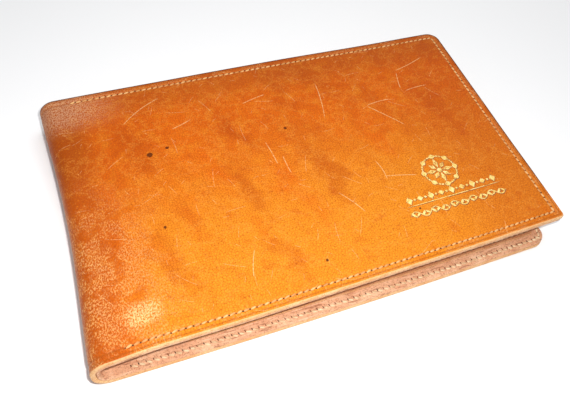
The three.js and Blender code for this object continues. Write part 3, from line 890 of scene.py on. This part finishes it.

# %% [markdown]
# ## Gold foil
# The ornament is pressed with hot brass dies through a gold film. The film is thin, lies a little sunk in
# leather that the die has darkened, and is rubbed off in places. So each figure is a dark pressed bed and,
# on it, a slightly smaller film of gold. The bed is shifted a little towards the free end and the front edge,
# so that it is also painted shadow of the raised film. The figures are generic: a star in a ring of beads,
# a rule of lozenges, and a leafy scroll. Each is a few flat shapes repeated and then laid on the cover's
# shape.

# %% Foil and its pressed bed
def foil_material():
    """Gold film: pale yellow, satin, with the tan showing through where it has worn."""
    surface, tree = new_material("rubbed_gold_foil")
    point = millimetres(tree)
    wear = add(tree, "TexNoise", {"Vector": point, "Scale": 0.8, "Detail": 6, "Roughness": 0.7})
    colour = paint(tree, linear("#E6BE62"), (
        (wear, 0.5, 0.4, 0.6, "#FBE3A2"),
        (wear, 0.54, 0.62, 0.9, "#A8661E"),
    ))
    metal = add(tree, "MapRange", (wear, 0.56, 0.64, 0.45, 0))
    crinkle = add(tree, "TexNoise", {"Vector": point, "Scale": 3, "Detail": 3})
    bump = add(tree, "Bump", {"Strength": 0.7, "Distance": 0.05 * MM, "Height": crinkle})
    shade_with(tree, Base_Color=colour, Metallic=metal, Roughness=0.34, Normal=bump)
    return surface


def scorch_and_shadow_bed_material():
    """Leather that the hot die has browned, painted darker also as the embossing's shadow."""
    surface, tree = new_material("die_scorch_and_emboss_shadow")
    bed_mottle = add(tree, "TexNoise", {"Vector": millimetres(tree), "Scale": 0.9, "Detail": 3})
    colour = paint(tree, linear("#9A4E14"), ((bed_mottle, 0.4, 0.6, 0.7, "#6E3210"),))
    shade_with(tree, Base_Color=colour, Roughness=0.5)
    return surface


foil, bed_scorch_and_shadow = foil_material(), scorch_and_shadow_bed_material()


# %% Foil figures
BED_MARGIN = 0.16  # the bed shows this far round the film
BED_HEIGHT, FILM_HEIGHT = 0.02, 0.05  # over the leather


def press(name, marks):
    """Presses marks (u, v, half length, half width, angle, sides) as a bed and a film over it."""
    figure = bmesh.new()
    for material_index, margin, top in ((1, BED_MARGIN, BED_HEIGHT), (0, 0, FILM_HEIGHT)):
        bm = bmesh.new()
        for u, v, half_length, half_width, angle, sides in marks:
            # The bed is shifted towards the free end and the front edge, as the embossing's painted shadow.
            middle = Matrix.Translation((u + margin * 0.4, v - margin * 0.6, 0))
            turn = Matrix.Rotation(math.radians(angle), 4, "Z")
            size = Matrix.Diagonal((half_length + margin, half_width + margin, 1, 1))
            bmesh.ops.create_circle(bm, cap_ends=True, radius=1, segments=sides, matrix=middle @ turn @ size)
        grown = bmesh.ops.extrude_face_region(bm, geom=bm.faces[:])
        upper = [g for g in grown["geom"] if isinstance(g, bmesh.types.BMVert)]
        bmesh.ops.translate(bm, verts=bm.verts, vec=(0, 0, top - FILM_HEIGHT))
        bmesh.ops.translate(bm, verts=upper, vec=(0, 0, FILM_HEIGHT))
        face_outwards(bm)
        for face in bm.faces:
            face.material_index = material_index
        layer = bpy.data.meshes.new("layer")
        bm.to_mesh(layer)
        bm.free()
        figure.from_mesh(layer)
        bpy.data.meshes.remove(layer)
    for vert in figure.verts:
        vert.co = place(vert.co.x, vert.co.y, -vert.co.z, True, 0)
    print(name, len(marks), "marks")
    return finish_piece(name, figure, [foil, bed_scorch_and_shadow])


def foil_place(node):
    """The middle of a foil node on the pattern, and its size."""
    low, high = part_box(node)
    middle = ((low + high) / 2 - ORIGIN) / MM
    return middle.x - FOLD, middle.y, (high - low) / MM


def on_circle(u, v, radius, degrees):
    return u + radius * math.cos(math.radians(degrees)), v + radius * math.sin(math.radians(degrees))


def star_marks(petals=8, beads=40):
    u, v, size = foil_place("foil_star")
    radius = size.x / 2
    marks = [(u, v, radius * 0.14, radius * 0.14, 0, 12)]
    for i in range(petals):
        reach = radius * (0.26 if i % 2 else 0.34)
        angle = i * 360 / petals
        marks.append((*on_circle(u, v, radius * 0.16 + reach, angle), reach, radius * 0.13, angle, 4))
    for i in range(beads):
        angle = i * 360 / beads
        big = i % 5 == 0
        marks.append((*on_circle(u, v, radius, angle), radius * (0.15 if big else 0.08),
                      radius * (0.15 if big else 0.055), angle + 90, 10 if big else 6))
    return marks


def lozenge_marks(count=9):
    u, v, size = foil_place("foil_bead_rule")
    marks = []
    for i in range(count):
        x = u + size.x * ((i + 0.5) / count - 0.5)
        tall = 1.55 if i % 2 == 0 else 1.0
        marks.append((x, v, 1.15, tall, 0, 4))
        if i:
            marks.append((x - size.x / count / 2, v, 0.42, 0.42, 0, 10))
    marks += [(u, v - 2.15, size.x / 2, 0.16, 0, 16)]
    return marks


def scroll_marks(waves=5, steps_per_wave=14, wave_height=1.15):
    u, v, size = foil_place("foil_scroll_rule")
    steps = waves * steps_per_wave
    marks = []
    for i in range(steps):
        phase = (i + 0.5) / steps_per_wave * math.tau
        x = u + size.x * ((i + 0.5) / steps - 0.5)
        slope = math.degrees(math.atan(wave_height * waves * math.tau / size.x * math.cos(phase)))
        y = v + wave_height * math.sin(phase)
        marks.append((x, y, 0.42, 0.24, slope, 6))
        if i % (steps_per_wave // 2) == 3:
            side = -1 if math.sin(phase) > 0 else 1
            marks.append((x - 0.7, y + side * 1.2, 1.15, 0.42, side * 50, 8))
            marks.append((x + 0.9, y + side * 1.2, 0.95, 0.36, side * -40, 8))
    return marks


star = press("foil_star_in_ring", star_marks())
beads = press("foil_lozenge_rule", lozenge_marks())
scroll = press("foil_leafy_scroll", scroll_marks())

# %% [markdown]
# ## The pad
# The pad is bound at its short end: sheets, a grey card, two staples through them and a strip of book cloth
# glued round the end. The upper sheets are loose in groups that turn on their bound end. Each stack is thin
# plates a little out of line, because the eye reads a stack of paper by the fine lines of its edge.


# %% Pad materials
RULE_GAP = 7
HEAD_LINE = (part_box("leaf_group_1")[0].x / MM) + 8  # the first ruled line stands clear of the binding
CLOTH_PITCH = 0.6  # coarser than a real cloth's 0.3, so that the weave shows


def paper_material():
    """Writing paper: off-white, matt, with pale blue ruled lines and a bare head margin."""
    surface, tree = new_material("ruled_writing_paper")
    point = millimetres(tree)
    along = add(tree, "SeparateXYZ", (point,))
    pulp = add(tree, "TexNoise", {"Vector": point, "Scale": 0.8, "Detail": 6})
    line_gap = add(tree, "Math", (along, RULE_GAP / 2), operation="PINGPONG")
    facing = add(tree, "SeparateXYZ", (add(tree, "NewGeometry", out="True Normal"),), 2)
    level = add(tree, "Math", (facing,), operation="ABSOLUTE")
    on_face = add(tree, "Math", (level, 0.5), operation="GREATER_THAN")
    past_head = add(tree, "Math", (along, HEAD_LINE), operation="GREATER_THAN")
    ruled = add(tree, "Math", (on_face, past_head), operation="MULTIPLY")
    off_line = add(tree, "Math", (ruled, line_gap), operation="MULTIPLY")
    bare = add(tree, "Math", (1, ruled), operation="SUBTRACT")
    blank = add(tree, "Math", (off_line, bare), operation="ADD")
    colour = paint(tree, linear("#EFEADB"), (
        (pulp, 0.3, 0.7, 1, "#FAF7EE"),
        (blank, 0.22, 0.1, 0.6, "#8FB0C8"),
    ))
    shade_with(tree, Base_Color=colour, Roughness=0.85)
    return surface


def card_material():
    """Chipboard: grey-brown recycled fibre, matt."""
    surface, tree = new_material("grey_chipboard")
    fibre = add(tree, "TexNoise", {"Vector": millimetres(tree), "Scale": 1.6, "Detail": 7, "Roughness": 0.7})
    bump = add(tree, "Bump", {"Strength": 1, "Distance": 0.05 * MM, "Height": fibre})
    colour = paint(tree, linear("#8D7F6B"), ((fibre, 0.35, 0.65, 1, "#B3A48D"),))
    shade_with(tree, Base_Color=colour, Roughness=0.9, Normal=bump)
    return surface


def cloth_material():
    """Book cloth: a plain weave."""
    surface, tree = new_material("brown_book_cloth")
    point = millimetres(tree)
    threads = math.tau / CLOTH_PITCH / 20  # Wave Texture bands repeat every tau / (20 x scale)
    warp = add(tree, "TexWave", {"Vector": point, "Scale": threads}, bands_direction="X")
    weft = add(tree, "TexWave", {"Vector": point, "Scale": threads}, bands_direction="Y")
    weave = add(tree, "Math", (warp, weft), operation="MAXIMUM")
    bump = add(tree, "Bump", {"Strength": 1, "Distance": 0.08 * MM, "Height": weave})
    colour = paint(tree, linear("#4A2716"), ((weave, 0, 1, 1, "#7B4728"),))
    shade_with(tree, Base_Color=colour, Roughness=0.8, Normal=bump)
    return surface


def wire_material():
    """Galvanised wire, drawn through a die: grey, bright, with fine scratches along it."""
    surface, tree = new_material("galvanised_wire")
    drawn = add(tree, "TexNoise", {"Vector": millimetres(tree), "Scale": 1.5, "Detail": 3})
    roughness = add(tree, "MapRange", (drawn, 0.3, 0.7, 0.22, 0.4))
    colour = paint(tree, linear("#9EA2A6"), ((drawn, 0.3, 0.7, 1, "#D5D7D9"),))
    shade_with(tree, Base_Color=colour, Metallic=1, Roughness=roughness)
    return surface


paper, card, cloth, wire = paper_material(), card_material(), cloth_material(), wire_material()


# %% Bound sheets and card
SHEET_SHARE = 0.8  # a sheet takes this share of its pitch, air the rest
PAGE_CORNER = 1.2 * MM
SHEET_GAP = 0.1 * MM
STUB_CLEARANCE = 0.8 * MM  # between the stub and the loose sheets
CARD_RIM = 0.12 * MM
BOUND_FRAY = 0.08  # bound sheets stray less than loose ones
BEND_RADIUS = 0.5 * MM  # of the cloth round the pad and of the staples' wire
BEND_ANGLES = [math.pi / 8 * k for k in range(1, 4)]


def sheet_stack(name, low, high, count, seed, fray=0.25):
    """Thin sheets filling a box, each a little out of line with the last, their free corners rounded."""
    bm = bmesh.new()
    dice = random.Random(seed)
    size = high - low
    pitch = size.z / count
    sheet = Matrix.Diagonal((size.x, size.y, pitch * SHEET_SHARE, 1))
    for i in range(count):
        shift = Vector((-dice.uniform(0, fray), dice.uniform(-fray, fray), 0)) * MM * (1 if i else 0)
        middle = (low + high) / 2 + shift
        middle.z = low.z + pitch * (i + 0.5)
        bmesh.ops.create_cube(bm, size=1, matrix=Matrix.Translation(middle) @ sheet)

    def is_free_corner(edge):
        a, b = (vert.co for vert in edge.verts)
        return abs(a.z - b.z) > pitch * 0.5 and a.x > low.x + size.x / 2

    corners = [edge for edge in bm.edges if is_free_corner(edge)]
    bmesh.ops.bevel(bm, geom=corners, offset=PAGE_CORNER, offset_type="OFFSET", segments=3, profile=0.5,
                    affect="EDGES", material=-1)
    face_outwards(bm)
    return finish_piece(name, bm, [paper])


def sheets_of_block():
    """The sheets that stay, lying on the sleeve, and at the bound end a stub over and a foot under them."""
    low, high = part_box("page_block")
    sleeve_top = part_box("pad_sleeve_leaf")[1].z + SHEET_GAP
    loose_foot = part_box("leaf_group_4")[0].z
    stub_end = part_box("leaf_group_1")[0].x - STUB_CLEARANCE
    stays_low = Vector((low.x, low.y, sleeve_top))
    stays_high = Vector((high.x, high.y, loose_foot - SHEET_GAP))
    stub_low, stub_high = Vector((low.x, low.y, loose_foot)), Vector((stub_end, high.y, high.z))
    foot_high = Vector((stub_end, high.y, sleeve_top))
    return (sheet_stack("sheets_that_stay", stays_low, stays_high, 11, 3),
            sheet_stack("bound_stub", stub_low, stub_high, 14, 4, BOUND_FRAY),
            sheet_stack("stub_foot", low, foot_high, 6, 5, BOUND_FRAY))


def card_back():
    low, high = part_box("pad_back_card")
    bm = bmesh.new()
    middle, size = Matrix.Translation((low + high) / 2), Matrix.Diagonal((*(high - low), 1))
    bmesh.ops.create_cube(bm, size=1, matrix=middle @ size)
    bmesh.ops.bevel(bm, geom=bm.edges[:], offset=CARD_RIM, offset_type="OFFSET", segments=2, profile=0.5,
                    affect="EDGES", material=-1)
    return finish_piece("chipboard_back", bm, [card])


stays, stub, stub_foot = sheets_of_block()
back_card = card_back()
print("bound", [piece.name for piece in (stays, stub, stub_foot, back_card)])


# %% Cloth strip, staples and loose sheets
def binding_strip():
    """The cloth strip, a U-shaped ribbon carried across the pad's width."""
    low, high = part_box("pad_binding_strip")
    thick, bend = 0.15 * MM, BEND_RADIUS
    under = low.x + (high.x - low.x) * 0.7  # it reaches less far under the pad than over it
    path = [(high.x, high.z), (low.x + bend, high.z)]
    path += [(low.x + bend - bend * math.sin(a), high.z - bend + bend * math.cos(a)) for a in BEND_ANGLES]
    path += [(low.x, high.z - bend), (low.x, low.z + bend)]
    path += [(low.x + bend - bend * math.cos(a), low.z + bend - bend * math.sin(a)) for a in BEND_ANGLES]
    path += [(low.x + bend, low.z), (under, low.z)]
    bm = bmesh.new()
    verts = [bm.verts.new((x, low.y, z)) for x, z in path]
    edges = [bm.edges.new(pair) for pair in zip(verts, verts[1:])]
    grown = bmesh.ops.extrude_edge_only(bm, edges=edges)
    moved = [g for g in grown["geom"] if isinstance(g, bmesh.types.BMVert)]
    bmesh.ops.translate(bm, verts=moved, vec=(0, high.y - low.y, 0))
    face_outwards(bm)
    bmesh.ops.solidify(bm, geom=bm.faces[:], thickness=thick)
    face_outwards(bm)
    return finish_piece("cloth_binding", bm, [cloth])


def staple(name, node):
    low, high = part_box(node)
    wire_radius = (high.x - low.x) / 2
    x, bend = (low.x + high.x) / 2, BEND_RADIUS
    y0, y1, z0, z1 = low.y + wire_radius, high.y - wire_radius, low.z, high.z - wire_radius
    path = [(y0, z0), (y0, z1 - bend)]
    path += [(y0 + bend - bend * math.cos(a), z1 - bend + bend * math.sin(a)) for a in BEND_ANGLES]
    path += [(y0 + bend, z1), (y1 - bend, z1)]
    path += [(y1 - bend + bend * math.sin(a), z1 - bend + bend * math.cos(a)) for a in BEND_ANGLES]
    path += [(y1, z1 - bend), (y1, z0)]
    curve = bpy.data.curves.new(name, "CURVE")
    curve.dimensions = "3D"
    curve.bevel_depth, curve.bevel_resolution, curve.use_fill_caps = wire_radius, 3, True
    spline = curve.splines.new("POLY")
    spline.points.add(len(path) - 1)
    for point, (y, z) in zip(spline.points, path):
        point.co = (x, y, z, 1)
    swept = bpy.data.objects.new("bent_wire", curve)
    bm = bmesh.new()
    bm.from_mesh(swept.to_mesh())
    bpy.data.objects.remove(swept)
    bmesh.ops.remove_doubles(bm, verts=bm.verts, dist=0.001 * MM)
    face_outwards(bm)
    for face in bm.faces:
        face.smooth = len(face.verts) == 4
    return finish_piece(name, bm, [wire])


strip = binding_strip()
staples = {node: staple("wire_" + node, node) for node in ("staple_front", "staple_back")}
groups = {}
for number in range(1, 5):
    node = f"leaf_group_{number}"
    low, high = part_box(node)
    groups[number] = sheet_stack(f"loose_sheets_{number}", low, high, 4, 20 + number)
print("strip", strip.name, "staples", len(staples), "loose groups", len(groups))

# %% [markdown]
# ## What moves with what
# The two halves of the hide and of the lining each bend across one hinge of the fold. Everything else rides
# on its body. Each piece stands for its plain CAD solid, which is hidden.

# %% Ride, blend and replace
PANEL_REACH = 0.8  # the panels keep still from this far beyond the roll


def bends(piece, body):
    """The panel's part of a rolled piece stays with it. All of the wall's middle, pressed in or not, turns
    with the spine, so the two halves stay joined there."""
    skin = inner_face * MM
    level = skin if body == "back_cover" else HEIGHT * MM - skin
    start = Vector((ORIGIN.x + (FOLD + PANEL_REACH) * MM, 0, level))
    end = Vector((ORIGIN.x + FOLD_WAIST * MM + skin, 0, HEIGHT / 2 * MM))
    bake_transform(piece, body, "spine", start=start, end=end)


for piece in (front_hide, front_lining):
    bends(piece, "front_cover")
for piece in (back_hide, back_lining):
    bends(piece, "back_cover")

for piece in (front_pocket, front_stitches, front_bobbin, pocket_stitches, star, beads, scroll):
    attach(piece, "front_cover")
for piece in (pad_sleeve, back_stitches, back_bobbin, sleeve_stitches, stays, stub, stub_foot, back_card,
              strip, *staples.values()):
    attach(piece, "back_cover")
for number, piece in groups.items():
    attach(piece, f"leaves_{number}")
    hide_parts(f"leaf_group_{number}")

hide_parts("front_cover_leather", "spine_leather")
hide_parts("back_cover_leather")
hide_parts("front_lining", "spine_lining")
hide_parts("back_lining")
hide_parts("front_pocket_leaf")
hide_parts("pad_sleeve_leaf")
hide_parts("front_edge_needle_thread")
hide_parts("front_edge_bobbin_thread")
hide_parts("front_pocket_thread")
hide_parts("back_edge_needle_thread")
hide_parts("back_edge_bobbin_thread")
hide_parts("pad_sleeve_thread")
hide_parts("foil_star")
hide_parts("foil_bead_rule")
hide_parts("foil_scroll_rule")
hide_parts("page_block")
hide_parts("pad_back_card")
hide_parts("pad_binding_strip")
for node, piece in staples.items():
    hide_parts(node)
